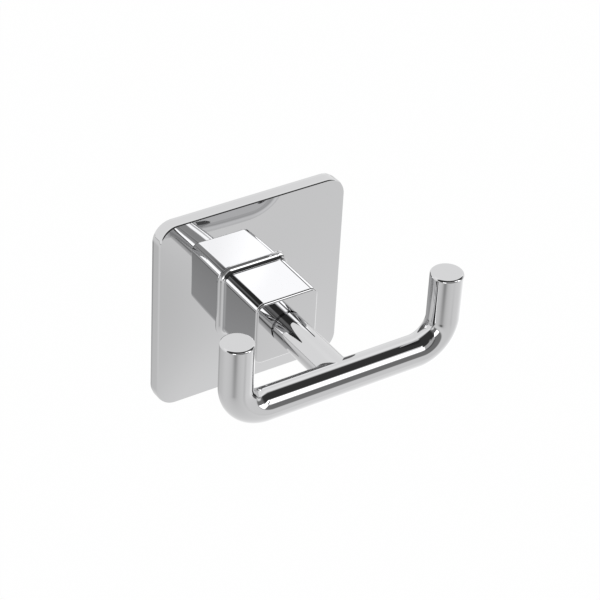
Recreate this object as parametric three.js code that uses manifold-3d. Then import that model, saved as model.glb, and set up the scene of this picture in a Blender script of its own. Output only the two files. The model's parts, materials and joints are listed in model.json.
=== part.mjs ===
import * as THREE from 'three';
import { mergeVertices } from 'three/addons/utils/BufferGeometryUtils.js';
import Module from 'manifold-3d';

// A double coat hook for a bathroom wall. A bracket is screwed to the wall, a cover plate hides it, and a
// square post slides over the bracket's spigot and is held there by a grub screw from below. A round stem
// on the post carries a bar whose two ends are bent up into arms.
// Sizes are in millimetres. Each piece is drawn with x to the right, y up and z out from the wall.

// Cover plate
const PLATE_SIDE = 51;
const PLATE_THICKNESS = 3.7;
const PLATE_CROWN = 0.45;
const PLATE_CROWN_POWER = 3;
const PLATE_CORNER_RADIUS = 5;
const PLATE_EDGE_RADIUS = 0.75;
const PLATE_RIM_WIDTH = 1.8;

// Post with its cove-shaped foot
const POST_SIDE = 17;
const POST_LENGTH = 15.45;
const POST_EDGE_RADIUS = 2.2;
const POST_FRONT_RADIUS = 0.45;
const POST_WALL = 2.5;
const POST_FRONT_WALL = 2.6;
const SOCKET_CORNER_RADIUS = 0.8;
const FOOT_COVE_RADIUS = 1.05;
const FOOT_LAND = 0.1;
const LIP_WALL = 1.4;
const LIP_SET_BACK = 0.3;

// Stem, bar and arms, all of one rod
const ROD_DIAMETER = 8;
const BAR_REACH = 38.15;
const ARM_SPACING = 56.4;
const ARM_RISE = 19.8;
const BEND_RADIUS = 7;
const TIP_RADIUS = 0.6;
const STEM_CHAMFER = 0.4;
const TENON_SHOULDER = 0.75;
const TENON_FLAT_DEPTH = 0.4;
const TENON_SET_BACK = 0.3;

// Screw and washers that clamp the stem from inside the post
const STEM_SCREW_DIAMETER = 4;
const STEM_SCREW_LENGTH = 16;
const STEM_SCREW_HEAD_DIAMETER = 7;
const STEM_SCREW_HEAD_HEIGHT = 2.6;
const STEM_SCREW_HEX = 2.5;
const STEM_SCREW_HEX_DEPTH = 1.6;
const STEM_BORE_TIP_ROOM = 1.5;
const SCREW_END_CHAMFER = 0.4;
const FLAT_WASHER_DIAMETER = 9;
const FLAT_WASHER_THICKNESS = 0.8;
const LOCK_WASHER_DIAMETER = 7.6;
const LOCK_WASHER_THICKNESS = 1;
const LOCK_WASHER_SLIT_ANGLE = 0.26;

// Wall bracket and its spigot
const BRACKET_THICKNESS = 1.8;
const BRACKET_HEIGHT = 16;
const BRACKET_CORNER_RADIUS = 3;
const BRACKET_END_CLEARANCE = 1.5;
const BRACKET_COVER_CLEARANCE = 0.4;
const SLOT_EDGE_DISTANCE = 9.2;
const SLOT_HALF_TRAVEL = 1.2;
const SPIGOT_CLEARANCE = 0.4;
const SPIGOT_END_CLEARANCE = 0.6;
const SPIGOT_CORNER_RADIUS = 1.2;
const STAKE_SIDE = 6;
const STAKE_FLARE = 0.7;
const STAKE_FLARE_DEPTH = 0.8;

// Grub screw under the post
const GRUB_DIAMETER = 4;
const GRUB_LENGTH = 4;
const GRUB_RECESS = 0.2;
const GRUB_POINT_RADIUS = 0.5;
const GRUB_HEX = 2;
const GRUB_HEX_DEPTH = 1.8;

// Countersunk wall screws
const WALL_SCREW_DIAMETER = 4;
const WALL_SCREW_HEAD_DIAMETER = 7.6;
const WALL_SCREW_LENGTH = 20;
const WALL_SCREW_POINT = 4;
const WALL_SCREW_CROSS_WIDTH = 0.9;
const WALL_SCREW_CROSS_SPAN = 4;
const WALL_SCREW_CROSS_DEPTH = 1.2;

// Gap between pieces that touch, and how far a cut runs past the face it opens
const SEAT_GAP = 0.3;
const CUT_MARGIN = 1;

// Steps of the round forms
const CORNER_STEPS = 6;
const EDGE_STEPS = 4;
const CROWN_STEPS = 6;
const CROWN_SIDE_STEPS = 8;
const BEND_STEPS = 12;
const ROD_SIDES = 48;
const SCREW_SIDES = 24;

// Places that follow from the sizes
const PLATE_HALF = PLATE_SIDE / 2;
const PLATE_FACE = PLATE_THICKNESS + PLATE_CROWN;
const PLATE_FACE_HALF = PLATE_HALF - PLATE_EDGE_RADIUS;
const POCKET_HALF = PLATE_HALF - PLATE_RIM_WIDTH;
const POCKET_CORNER_RADIUS = PLATE_CORNER_RADIUS - PLATE_RIM_WIDTH;
const POCKET_DEPTH = BRACKET_THICKNESS + BRACKET_COVER_CLEARANCE;
const POST_HALF = POST_SIDE / 2;
const POST_FRONT = PLATE_FACE + POST_LENGTH;
const FOOT_BACK = PLATE_FACE + SEAT_GAP;
const FOOT_TOP = FOOT_BACK + FOOT_LAND + FOOT_COVE_RADIUS;
const SOCKET_HALF = POST_HALF - POST_WALL;
const SOCKET_END = POST_FRONT - POST_FRONT_WALL;
const LIP_HALF = SOCKET_HALF + LIP_WALL;
const LIP_CORNER_RADIUS = SOCKET_CORNER_RADIUS + LIP_WALL;
const LIP_BACK = POCKET_DEPTH + LIP_SET_BACK;
const ROD_RADIUS = ROD_DIAMETER / 2;
const BAR_AXIS = PLATE_FACE + BAR_REACH;
const STEM_BACK = POST_FRONT + SEAT_GAP;
const TENON_RADIUS = ROD_RADIUS - TENON_SHOULDER;
const TENON_HALF_FLAT = TENON_RADIUS - TENON_FLAT_DEPTH;
const TENON_BACK = SOCKET_END + TENON_SET_BACK;
const STEM_SCREW_RADIUS = STEM_SCREW_DIAMETER / 2;
const FLAT_WASHER_BACK = SOCKET_END - SEAT_GAP - FLAT_WASHER_THICKNESS;
const LOCK_WASHER_BACK = FLAT_WASHER_BACK - SEAT_GAP - LOCK_WASHER_THICKNESS;
const HEAD_FRONT = LOCK_WASHER_BACK - SEAT_GAP;
const HEAD_BACK = HEAD_FRONT - STEM_SCREW_HEAD_HEIGHT;
const STEM_SCREW_END = HEAD_FRONT + STEM_SCREW_LENGTH;
const SPIGOT_HALF = SOCKET_HALF - SPIGOT_CLEARANCE;
const SPIGOT_BACK = BRACKET_THICKNESS + SEAT_GAP;
const SPIGOT_END = HEAD_BACK - SPIGOT_END_CLEARANCE;
const STAKE_HALF = STAKE_SIDE / 2;
const BRACKET_HALF = POCKET_HALF - BRACKET_END_CLEARANCE;
const SLOT_OFFSET = BRACKET_HALF - SLOT_EDGE_DISTANCE;
const GRUB_RADIUS = GRUB_DIAMETER / 2;
const GRUB_BOTTOM = -(POST_HALF - GRUB_RECESS);
const GRUB_PLACE = (FOOT_TOP + SPIGOT_END) / 2;
const WALL_SCREW_RADIUS = WALL_SCREW_DIAMETER / 2;
const WALL_SCREW_HEAD_RADIUS = WALL_SCREW_HEAD_DIAMETER / 2;
const WALL_SCREW_CONE = WALL_SCREW_HEAD_RADIUS - WALL_SCREW_RADIUS;
const CONE_GAP = SEAT_GAP * Math.SQRT2;

const wasm = await Module();
wasm.setup();

// A closed geometry as a solid that can be joined and cut.
function solidOf(geometry) {
  const bare = geometry.clone();
  bare.deleteAttribute('normal');
  bare.deleteAttribute('uv');
  const merged = mergeVertices(bare);
  return new wasm.Manifold(new wasm.Mesh({
    numProp: 3,
    vertProperties: merged.attributes.position.array,
    triVerts: new Uint32Array(merged.index.array),
  }));
}

// The first geometry without the rest.
function cut(geometry, ...tools) {
  const left = tools.reduce((body, tool) => body.subtract(solidOf(tool)), solidOf(geometry));
  return geometryOf(left);
}

// The geometries as one.
function join(first, ...rest) {
  const whole = rest.reduce((body, other) => body.add(solidOf(other)), solidOf(first));
  return geometryOf(whole);
}

function geometryOf(solid) {
  const mesh = solid.getMesh();
  const geometry = new THREE.BufferGeometry();
  geometry.setAttribute('position', new THREE.BufferAttribute(new Float32Array(mesh.vertProperties), 3));
  geometry.setIndex(new THREE.BufferAttribute(new Uint32Array(mesh.triVerts), 1));
  return geometry;
}

// Skins a row of rings with the same number of points and closes both ends with flat caps.
function loft(rings) {
  const count = rings[0].length;
  const index = [];
  for (let ring = 0; ring < rings.length - 1; ring += 1) {
    for (let i = 0; i < count; i += 1) {
      const a = ring * count + i;
      const b = ring * count + ((i + 1) % count);
      index.push(a, b, b + count, a, b + count, a + count);
    }
  }
  const last = (rings.length - 1) * count;
  for (let i = 1; i < count - 1; i += 1) {
    index.push(0, i + 1, i);
    index.push(last, last + i, last + i + 1);
  }
  const geometry = new THREE.BufferGeometry().setFromPoints(rings.flat());
  geometry.setIndex(index);
  return geometry;
}

// A rectangle with rounded corners, as an outline.
function roundedRectangle(halfWidth, halfHeight, radius) {
  const x = halfWidth - radius;
  const y = halfHeight - radius;
  const quarter = Math.PI / 2;
  const outline = new THREE.Shape();
  outline.absarc(x, y, radius, 0, quarter);
  outline.absarc(-x, y, radius, quarter, 2 * quarter);
  outline.absarc(-x, -y, radius, 2 * quarter, 3 * quarter);
  outline.absarc(x, -y, radius, 3 * quarter, 4 * quarter);
  return outline;
}

// A rounded square at height z, as a ring of a loft. Each straight side is divided into sideSteps.
function squareRing(half, radius, z, sideSteps = 1) {
  const straight = half - radius;
  const quarter = quarterSteps(CORNER_STEPS).map((angle) => (
    new THREE.Vector3(straight + radius * Math.cos(angle), straight + radius * Math.sin(angle), z)
  ));
  for (let i = 1; i < sideSteps; i += 1) {
    quarter.push(new THREE.Vector3(straight * (1 - (2 * i) / sideSteps), half, z));
  }
  const axis = new THREE.Vector3(0, 0, 1);
  return [0, 1, 2, 3].flatMap((turns) => (
    quarter.map((point) => point.clone().applyAxisAngle(axis, (turns * Math.PI) / 2))
  ));
}

// A slot with round ends at height z, as a ring of a loft.
function slotRing(radius, halfTravel, turn, z) {
  const outline = new THREE.Shape();
  outline.absarc(halfTravel, 0, radius, -Math.PI / 2, Math.PI / 2);
  outline.absarc(-halfTravel, 0, radius, Math.PI / 2, 1.5 * Math.PI);
  const axis = new THREE.Vector3(0, 0, 1);
  const points = outline.getPoints(CORNER_STEPS * 2);
  return points.map((p) => new THREE.Vector3(p.x, p.y, z).applyAxisAngle(axis, turn));
}

// A circle with a flat on its left and right.
function flattenedCircle(radius, halfFlat) {
  const corner = Math.acos(halfFlat / radius);
  const outline = new THREE.Shape();
  outline.absarc(0, 0, radius, corner, Math.PI - corner);
  outline.absarc(0, 0, radius, Math.PI + corner, 2 * Math.PI - corner);
  return outline;
}

// A turned piece from [radius, z] pairs that start and end on the axis, along z.
function turned(profile, sides) {
  const points = profile.map(([radius, z]) => new THREE.Vector2(radius, z));
  return new THREE.LatheGeometry(points, sides).rotateX(Math.PI / 2);
}

// An outline drawn out from z = back to z = front.
function extruded(outline, back, front) {
  const geometry = new THREE.ExtrudeGeometry(outline, {
    depth: front - back,
    bevelEnabled: false,
    curveSegments: SCREW_SIDES / 2,
  });
  return geometry.translate(0, 0, back);
}

// A hexagon for a key of the given width across flats.
function hexagon(acrossFlats) {
  const corner = acrossFlats / Math.sqrt(3);
  const points = Array.from({ length: 6 }, (unused, i) => {
    const angle = (i * Math.PI) / 3;
    return new THREE.Vector2(corner * Math.cos(angle), corner * Math.sin(angle));
  });
  return new THREE.Shape(points);
}

// Steps of a quarter turn from 0 to 90 degrees.
function quarterSteps(steps) {
  return Array.from({ length: steps + 1 }, (unused, i) => (i / steps) * (Math.PI / 2));
}

// How far the plate's face stands above its edge: nothing along the edge, the whole crown at the middle.
function crownAt(x, y) {
  const fall = (distance) => 1 - Math.abs(distance / PLATE_FACE_HALF) ** PLATE_CROWN_POWER;
  return PLATE_CROWN * fall(x) * fall(y);
}

// Square shell with rounded corners, a rounded front edge and a face that swells towards the middle. The
// hollow behind it hides the bracket, and the square hole takes the lip of the post.
function coverPlate() {
  const ring = (half, radius, z) => squareRing(half, radius, z, CROWN_SIDE_STEPS);
  const rings = [ring(PLATE_HALF, PLATE_CORNER_RADIUS, 0)];
  for (const angle of quarterSteps(EDGE_STEPS)) {
    const inset = PLATE_EDGE_RADIUS * (1 - Math.cos(angle));
    const z = PLATE_THICKNESS - PLATE_EDGE_RADIUS * (1 - Math.sin(angle));
    rings.push(ring(PLATE_HALF - inset, PLATE_CORNER_RADIUS - inset, z));
  }
  const faceRadius = PLATE_CORNER_RADIUS - PLATE_EDGE_RADIUS;
  for (let i = 1; i <= CROWN_STEPS; i += 1) {
    const half = THREE.MathUtils.lerp(PLATE_FACE_HALF, LIP_HALF, i / CROWN_STEPS);
    const radius = THREE.MathUtils.lerp(faceRadius, LIP_CORNER_RADIUS, i / CROWN_STEPS);
    const points = ring(half, radius, PLATE_THICKNESS);
    points.forEach((point) => { point.z += crownAt(point.x, point.y); });
    rings.push(points);
  }
  const pocket = loft([
    squareRing(POCKET_HALF, POCKET_CORNER_RADIUS, -CUT_MARGIN),
    squareRing(POCKET_HALF, POCKET_CORNER_RADIUS, POCKET_DEPTH),
  ]);
  const hole = loft([
    squareRing(LIP_HALF + SEAT_GAP, LIP_CORNER_RADIUS + SEAT_GAP, -CUT_MARGIN),
    squareRing(LIP_HALF + SEAT_GAP, LIP_CORNER_RADIUS + SEAT_GAP, PLATE_FACE + CUT_MARGIN),
  ]);
  return cut(loft(rings), pocket, hole);
}

// Square tube with a closed front. From the wall outwards it is the lip in the plate, the foot with its
// cove, the long sides and the front edge.
function post() {
  const rings = [
    squareRing(LIP_HALF, LIP_CORNER_RADIUS, LIP_BACK),
    squareRing(LIP_HALF, LIP_CORNER_RADIUS, FOOT_BACK),
  ];
  const footHalf = POST_HALF + FOOT_COVE_RADIUS;
  rings.push(squareRing(footHalf, POST_EDGE_RADIUS + FOOT_COVE_RADIUS, FOOT_BACK));
  for (const angle of quarterSteps(EDGE_STEPS)) {
    const overhang = FOOT_COVE_RADIUS * (1 - Math.sin(angle));
    const z = FOOT_TOP - FOOT_COVE_RADIUS * Math.cos(angle);
    rings.push(squareRing(POST_HALF + overhang, POST_EDGE_RADIUS + overhang, z));
  }
  for (const angle of quarterSteps(EDGE_STEPS)) {
    const inset = POST_FRONT_RADIUS * (1 - Math.cos(angle));
    const z = POST_FRONT - POST_FRONT_RADIUS * (1 - Math.sin(angle));
    rings.push(squareRing(POST_HALF - inset, POST_EDGE_RADIUS - inset, z));
  }
  const socket = loft([
    squareRing(SOCKET_HALF, SOCKET_CORNER_RADIUS, LIP_BACK - CUT_MARGIN),
    squareRing(SOCKET_HALF, SOCKET_CORNER_RADIUS, SOCKET_END),
  ]);
  const tenonHole = extruded(
    flattenedCircle(TENON_RADIUS + SEAT_GAP, TENON_HALF_FLAT + SEAT_GAP),
    SOCKET_END - CUT_MARGIN,
    POST_FRONT + CUT_MARGIN,
  );
  const grubHole = new THREE.CylinderGeometry(
    GRUB_RADIUS + SEAT_GAP,
    GRUB_RADIUS + SEAT_GAP,
    POST_WALL + 2 * CUT_MARGIN,
    SCREW_SIDES,
  );
  grubHole.translate(0, -POST_HALF + POST_WALL / 2, GRUB_PLACE);
  return cut(loft(rings), socket, tenonHole, grubHole);
}

// Round stem with a flattened tenon at the post, a threaded bore for the clamping screw, and a hollow end
// that fits round the bar.
function hookStem() {
  const shaft = turned([
    [0, STEM_BACK],
    [ROD_RADIUS - STEM_CHAMFER, STEM_BACK],
    [ROD_RADIUS, STEM_BACK + STEM_CHAMFER],
    [ROD_RADIUS, BAR_AXIS],
    [0, BAR_AXIS],
  ], ROD_SIDES);
  const tenon = extruded(
    flattenedCircle(TENON_RADIUS, TENON_HALF_FLAT),
    TENON_BACK,
    STEM_BACK + STEM_CHAMFER,
  );
  const bore = turned([
    [0, TENON_BACK - CUT_MARGIN],
    [STEM_SCREW_RADIUS + SEAT_GAP, TENON_BACK - CUT_MARGIN],
    [STEM_SCREW_RADIUS + SEAT_GAP, STEM_SCREW_END + SEAT_GAP],
    [0, STEM_SCREW_END + STEM_BORE_TIP_ROOM],
  ], SCREW_SIDES);
  const barRadius = ROD_RADIUS + SEAT_GAP;
  const saddle = new THREE.CylinderGeometry(barRadius, barRadius, 2 * ROD_DIAMETER, ROD_SIDES);
  saddle.rotateZ(Math.PI / 2).translate(0, 0, BAR_AXIS);
  return cut(join(shaft, tenon), bore, saddle);
}

// One rod bent up at both ends, with flat tips whose rims are rounded.
function hookBar() {
  const armX = ARM_SPACING / 2;
  const route = new THREE.Path();
  route.moveTo(-armX, ARM_RISE);
  route.absarc(-armX + BEND_RADIUS, BEND_RADIUS, BEND_RADIUS, Math.PI, 1.5 * Math.PI);
  route.absarc(armX - BEND_RADIUS, BEND_RADIUS, BEND_RADIUS, 1.5 * Math.PI, 2 * Math.PI);
  route.lineTo(armX, ARM_RISE);
  const middle = route.getPoints(BEND_STEPS).slice(1, -1);

  const rodRing = (centre, along, radius) => {
    const side = new THREE.Vector2(-along.y, along.x);
    return Array.from({ length: ROD_SIDES }, (unused, i) => {
      const angle = (i / ROD_SIDES) * 2 * Math.PI;
      const offset = side.clone().multiplyScalar(radius * Math.cos(angle));
      const z = BAR_AXIS + radius * Math.sin(angle);
      return new THREE.Vector3(centre.x + offset.x, centre.y + offset.y, z);
    });
  };
  const tipRings = (x, along) => quarterSteps(EDGE_STEPS).map((angle) => {
    const drop = TIP_RADIUS * (1 - Math.cos(angle));
    const radius = ROD_RADIUS - TIP_RADIUS * (1 - Math.sin(angle));
    return rodRing(new THREE.Vector2(x, ARM_RISE - drop), along, radius);
  });
  const bendRings = middle.map((centre, i) => {
    const before = middle[Math.max(i - 1, 0)];
    const after = middle[Math.min(i + 1, middle.length - 1)];
    const into = i === 0 ? new THREE.Vector2(0, -1) : centre.clone().sub(before).normalize();
    const outOf = i === middle.length - 1 ? new THREE.Vector2(0, 1) : after.clone().sub(centre).normalize();
    return rodRing(centre, into.add(outOf).normalize(), ROD_RADIUS);
  });
  const down = new THREE.Vector2(0, -1);
  const up = new THREE.Vector2(0, 1);
  return loft([...tipRings(-armX, down), ...bendRings, ...tipRings(armX, up).reverse()]);
}

// Cap screw that clamps the stem to the post's front wall.
function stemScrew() {
  const headRadius = STEM_SCREW_HEAD_DIAMETER / 2;
  const body = turned([
    [0, HEAD_BACK],
    [headRadius - SCREW_END_CHAMFER, HEAD_BACK],
    [headRadius, HEAD_BACK + SCREW_END_CHAMFER],
    [headRadius, HEAD_FRONT],
    [STEM_SCREW_RADIUS, HEAD_FRONT],
    [STEM_SCREW_RADIUS, STEM_SCREW_END - SCREW_END_CHAMFER],
    [STEM_SCREW_RADIUS - SCREW_END_CHAMFER, STEM_SCREW_END],
    [0, STEM_SCREW_END],
  ], SCREW_SIDES);
  const key = extruded(hexagon(STEM_SCREW_HEX), HEAD_BACK - CUT_MARGIN, HEAD_BACK + STEM_SCREW_HEX_DEPTH);
  return cut(body, key);
}

function stemFlatWasher() {
  const outline = new THREE.Shape().absarc(0, 0, FLAT_WASHER_DIAMETER / 2, 0, 2 * Math.PI);
  outline.holes.push(new THREE.Path().absarc(0, 0, STEM_SCREW_RADIUS + SEAT_GAP, 0, 2 * Math.PI));
  return extruded(outline, FLAT_WASHER_BACK, FLAT_WASHER_BACK + FLAT_WASHER_THICKNESS);
}

// Spring washer: a ring with a slit.
function stemLockWasher() {
  const slit = LOCK_WASHER_SLIT_ANGLE / 2;
  const outline = new THREE.Shape();
  outline.absarc(0, 0, LOCK_WASHER_DIAMETER / 2, slit, 2 * Math.PI - slit);
  outline.absarc(0, 0, STEM_SCREW_RADIUS + SEAT_GAP, 2 * Math.PI - slit, slit, true);
  return extruded(outline, LOCK_WASHER_BACK, LOCK_WASHER_BACK + LOCK_WASHER_THICKNESS);
}

// Pressed strip with two countersunk slots, one each way for adjustment, and the flared hole of the spigot.
function wallBracket() {
  const strip = extruded(
    roundedRectangle(BRACKET_HALF, BRACKET_HEIGHT / 2, BRACKET_CORNER_RADIUS),
    0,
    BRACKET_THICKNESS,
  );
  const coneRadius = (z) => WALL_SCREW_HEAD_RADIUS + CONE_GAP + z - BRACKET_THICKNESS;
  const slot = (turn) => loft([-CUT_MARGIN, BRACKET_THICKNESS + CUT_MARGIN].map((z) => (
    slotRing(coneRadius(z), SLOT_HALF_TRAVEL, turn, z)
  )));
  const left = slot(0).translate(-SLOT_OFFSET, 0, 0);
  const right = slot(Math.PI / 2).translate(SLOT_OFFSET, 0, 0);
  const room = STAKE_HALF + SEAT_GAP;
  const stakeHole = loft([
    squareRing(room + STAKE_FLARE, SPIGOT_CORNER_RADIUS, -CUT_MARGIN),
    squareRing(room + STAKE_FLARE, SPIGOT_CORNER_RADIUS, 0),
    squareRing(room, SPIGOT_CORNER_RADIUS, STAKE_FLARE_DEPTH),
    squareRing(room, SPIGOT_CORNER_RADIUS, BRACKET_THICKNESS + CUT_MARGIN),
  ]);
  return cut(strip, left, right, stakeHole);
}

// Square boss that fills the post's socket. Its back end is spread in the bracket like a rivet, flush with
// the wall, and the grub screw's point bites in the dimple underneath.
function bracketSpigot() {
  const boss = loft([
    squareRing(STAKE_HALF + STAKE_FLARE, SPIGOT_CORNER_RADIUS, 0),
    squareRing(STAKE_HALF, SPIGOT_CORNER_RADIUS, STAKE_FLARE_DEPTH),
    squareRing(STAKE_HALF, SPIGOT_CORNER_RADIUS, SPIGOT_BACK),
    squareRing(SPIGOT_HALF, SPIGOT_CORNER_RADIUS, SPIGOT_BACK),
    squareRing(SPIGOT_HALF, SPIGOT_CORNER_RADIUS, SPIGOT_END),
  ]);
  return cut(boss, grubBody(SEAT_GAP));
}

// The grub screw's outer form, standing upright in its place, grown by the given room.
function grubBody(room) {
  const radius = GRUB_RADIUS + room;
  const tip = GRUB_LENGTH + room;
  const cone = GRUB_RADIUS - GRUB_POINT_RADIUS;
  const profile = [
    new THREE.Vector2(0, 0),
    new THREE.Vector2(radius, 0),
    new THREE.Vector2(radius, tip - cone),
    new THREE.Vector2(radius - cone, tip),
    new THREE.Vector2(0, tip),
  ];
  return new THREE.LatheGeometry(profile, SCREW_SIDES).translate(0, GRUB_BOTTOM, GRUB_PLACE);
}

function grubScrew() {
  const key = extruded(hexagon(GRUB_HEX), -CUT_MARGIN, GRUB_HEX_DEPTH);
  key.rotateX(-Math.PI / 2).translate(0, GRUB_BOTTOM, GRUB_PLACE);
  return cut(grubBody(0), key);
}

// Countersunk screw with a cross recess, flush with the bracket's front.
function wallScrew(x) {
  const end = BRACKET_THICKNESS - WALL_SCREW_LENGTH;
  const body = turned([
    [0, end],
    [WALL_SCREW_RADIUS, end + WALL_SCREW_POINT],
    [WALL_SCREW_RADIUS, BRACKET_THICKNESS - WALL_SCREW_CONE],
    [WALL_SCREW_HEAD_RADIUS, BRACKET_THICKNESS],
    [0, BRACKET_THICKNESS],
  ], SCREW_SIDES);
  const arm = (width, height) => new THREE.BoxGeometry(width, height, 2 * WALL_SCREW_CROSS_DEPTH)
    .translate(0, 0, BRACKET_THICKNESS);
  const across = arm(WALL_SCREW_CROSS_SPAN, WALL_SCREW_CROSS_WIDTH);
  const upright = arm(WALL_SCREW_CROSS_WIDTH, WALL_SCREW_CROSS_SPAN);
  return cut(body, across, upright).translate(x, 0, 0);
}

// Finishes
const chrome = () => new THREE.MeshStandardMaterial({ color: 0xd9dcde, metalness: 1, roughness: 0.04 });
const steel = () => new THREE.MeshStandardMaterial({ color: 0xb4b6b8, metalness: 1, roughness: 0.4 });
const zinc = () => new THREE.MeshStandardMaterial({ color: 0xa9adb0, metalness: 1, roughness: 0.5 });
const blackSteel = () => new THREE.MeshStandardMaterial({ color: 0x2a2b2d, metalness: 1, roughness: 0.45 });

const hook = new THREE.Group();

// Pieces stand with z out from the wall, which the whole object calls -Y.
const standing = new THREE.Group();
standing.rotation.x = Math.PI / 2;
hook.add(standing);

function add(name, geometry, material) {
  const mesh = new THREE.Mesh(geometry, material);
  mesh.name = name;
  standing.add(mesh);
}

add('cover_plate', coverPlate(), chrome());
add('post', post(), chrome());
add('hook_stem', hookStem(), chrome());
add('hook_bar', hookBar(), chrome());
add('stem_screw', stemScrew(), blackSteel());
add('stem_flat_washer', stemFlatWasher(), steel());
add('stem_lock_washer', stemLockWasher(), steel());
add('wall_bracket', wallBracket(), steel());
add('bracket_spigot', bracketSpigot(), zinc());
add('grub_screw', grubScrew(), blackSteel());
add('wall_screw_left', wallScrew(-SLOT_OFFSET), steel());
add('wall_screw_right', wallScrew(SLOT_OFFSET), steel());

export default hook;
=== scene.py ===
# %% [markdown]
# # A double coat hook in mirror chrome
#
# A square plate covers a bracket on the wall, a square post stands on the plate, and a round rod grows
# out of the post, forks into a bar and turns up into two arms. Chrome has almost no colour of its own:
# what the eye reads as chrome is the studio around it. So this lesson spends its care on two things,
# true smooth shapes and a believable room for them to mirror.
#
# The CAD model comes first, as a fixed frame. Its boxes give the main sizes and the places of the pieces.

# %% Load the frame
import json
import math

import bmesh
import bpy
from mathutils import Matrix, Quaternion, Vector


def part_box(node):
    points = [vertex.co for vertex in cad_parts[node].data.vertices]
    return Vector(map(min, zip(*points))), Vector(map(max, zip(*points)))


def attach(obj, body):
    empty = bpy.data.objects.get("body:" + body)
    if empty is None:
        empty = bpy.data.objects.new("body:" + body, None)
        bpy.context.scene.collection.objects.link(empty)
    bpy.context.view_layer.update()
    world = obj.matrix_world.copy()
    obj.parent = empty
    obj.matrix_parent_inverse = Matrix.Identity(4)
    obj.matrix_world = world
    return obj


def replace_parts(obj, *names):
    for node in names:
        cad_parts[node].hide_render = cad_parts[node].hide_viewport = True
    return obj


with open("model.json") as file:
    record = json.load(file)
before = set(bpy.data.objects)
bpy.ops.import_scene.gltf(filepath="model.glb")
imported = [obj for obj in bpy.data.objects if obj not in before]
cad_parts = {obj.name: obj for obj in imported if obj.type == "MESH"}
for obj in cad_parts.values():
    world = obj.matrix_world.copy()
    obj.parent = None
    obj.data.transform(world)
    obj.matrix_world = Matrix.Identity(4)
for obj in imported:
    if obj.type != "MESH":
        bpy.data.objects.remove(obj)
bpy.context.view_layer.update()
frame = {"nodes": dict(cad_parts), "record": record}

MM = 0.001
print("nodes:", ", ".join(sorted(frame["nodes"])))

# %% [markdown]
# ## Camera
#
# The photograph was taken from the upper left with a long lens, close to the hook. A camera that was
# fitted to the outlines in the picture gives the place, the aim, the lens and a slight roll. A Track To
# constraint would aim it too, but keep it level. So a quaternion from `to_track_quat` turns the camera
# towards its aim, and a second turn about its own axis adds the roll.

# %% Camera
CAMERA_PLACE = Vector((-250.651, -387.047, 318.826)) * MM
CAMERA_AIM = Vector((10.613, -9.161, -2.460)) * MM
CAMERA_ROLL = math.radians(3.309)
LENS_MM = 139.714
SENSOR_MM = 36

camera_data = bpy.data.cameras.new("camera")
camera_data.lens = LENS_MM
camera_data.sensor_width = SENSOR_MM
camera = bpy.data.objects.new("camera", camera_data)
bpy.context.scene.collection.objects.link(camera)
towards_hook = (CAMERA_AIM - CAMERA_PLACE).to_track_quat("-Z", "Y")
camera.rotation_mode = "QUATERNION"
camera.rotation_quaternion = towards_hook @ Quaternion((0, 0, 1), CAMERA_ROLL)
camera.location = CAMERA_PLACE
bpy.context.scene.camera = camera
bpy.context.scene.view_settings.view_transform = "Standard"
print("camera", round((CAMERA_AIM - CAMERA_PLACE).length / MM), "mm from its aim")

# %% [markdown]
# ## Writing shaders as sums
#
# A node tree is easier to read as a formula than as boxes and wires. The small class below wraps one
# socket. Adding, subtracting, multiplying or dividing lays down a Math node, and `node` adds any other
# kind: its settings are made first, because some of them change which sockets there are. A Mix node has
# one set of sockets for each kind of value, so those for colours are known by their numbers.

# %% A socket that can be reckoned with
MIX_FROM, MIX_TO, MIX_COLOUR = 6, 7, 2


class Signal:
    """A socket of a shader tree that takes part in arithmetic."""

    def __init__(self, tree, socket=None):
        self.tree = tree
        self.socket = socket

    def plug(self, value, target):
        """Link a signal to a socket, or set a plain value on it."""
        if isinstance(value, Signal):
            self.tree.links.new(value.socket, target)
        else:
            target.default_value = value

    def node(self, kind, settings=None, inputs=None, output=0):
        """Add a node of any kind and return one of its outputs, if it has any."""
        node = self.tree.nodes.new("ShaderNode" + kind)
        for name, setting in (settings or {}).items():
            setattr(node, name, setting)
        for name, value in (inputs or {}).items():
            self.plug(value, node.inputs[name])
        return Signal(self.tree, node.outputs[output]) if node.outputs else None

    def math(self, operation, *terms):
        return self.node("Math", {"operation": operation}, dict(enumerate(terms)))

    def __add__(self, other):
        return self.math("ADD", self, other)

    def __sub__(self, other):
        return self.math("SUBTRACT", self, other)

    def __rsub__(self, other):
        return self.math("SUBTRACT", other, self)

    def __mul__(self, other):
        return self.math("MULTIPLY", self, other)

    def __truediv__(self, other):
        return self.math("DIVIDE", self, other)

    def __rtruediv__(self, other):
        return self.math("DIVIDE", other, self)

    __radd__ = __add__
    __rmul__ = __mul__

    def rising(self, start, end):
        """0 below start, 1 above end, and a smooth step between."""
        limits = {"Value": self, "From Min": start, "From Max": end}
        return self.node("MapRange", {"interpolation_type": "SMOOTHSTEP"}, limits)

    def between(self, low, high, soft):
        """1 inside a band and 0 outside, with soft edges."""
        return self.rising(low - soft, low + soft) * (1 - self.rising(high - soft, high + soft))

    def magnitude(self):
        return self.math("ABSOLUTE", self)

    def tint(self, start, end):
        """A colour that goes from start to end as the signal goes from 0 to 1."""
        colours = {"Factor": self, MIX_FROM: start, MIX_TO: end}
        return self.node("Mix", {"data_type": "RGBA"}, colours, MIX_COLOUR)

    def relief(self, strength, depth):
        """A normal that takes the signal as a height."""
        return self.node("Bump", None, {"Strength": strength, "Distance": depth, "Height": self})


def new_finish(name, uniform):
    """A material with its shader, whose even values are set on the shader's own sockets."""
    material = bpy.data.materials.new(name)
    material.use_nodes = True
    shader = material.node_tree.nodes["Principled BSDF"]
    for socket, value in uniform.items():
        shader.inputs[socket].default_value = value
    sheet = Signal(material.node_tree)
    place = sheet.node("TexCoord", output="Object")
    return material, shader, sheet, place


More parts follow.
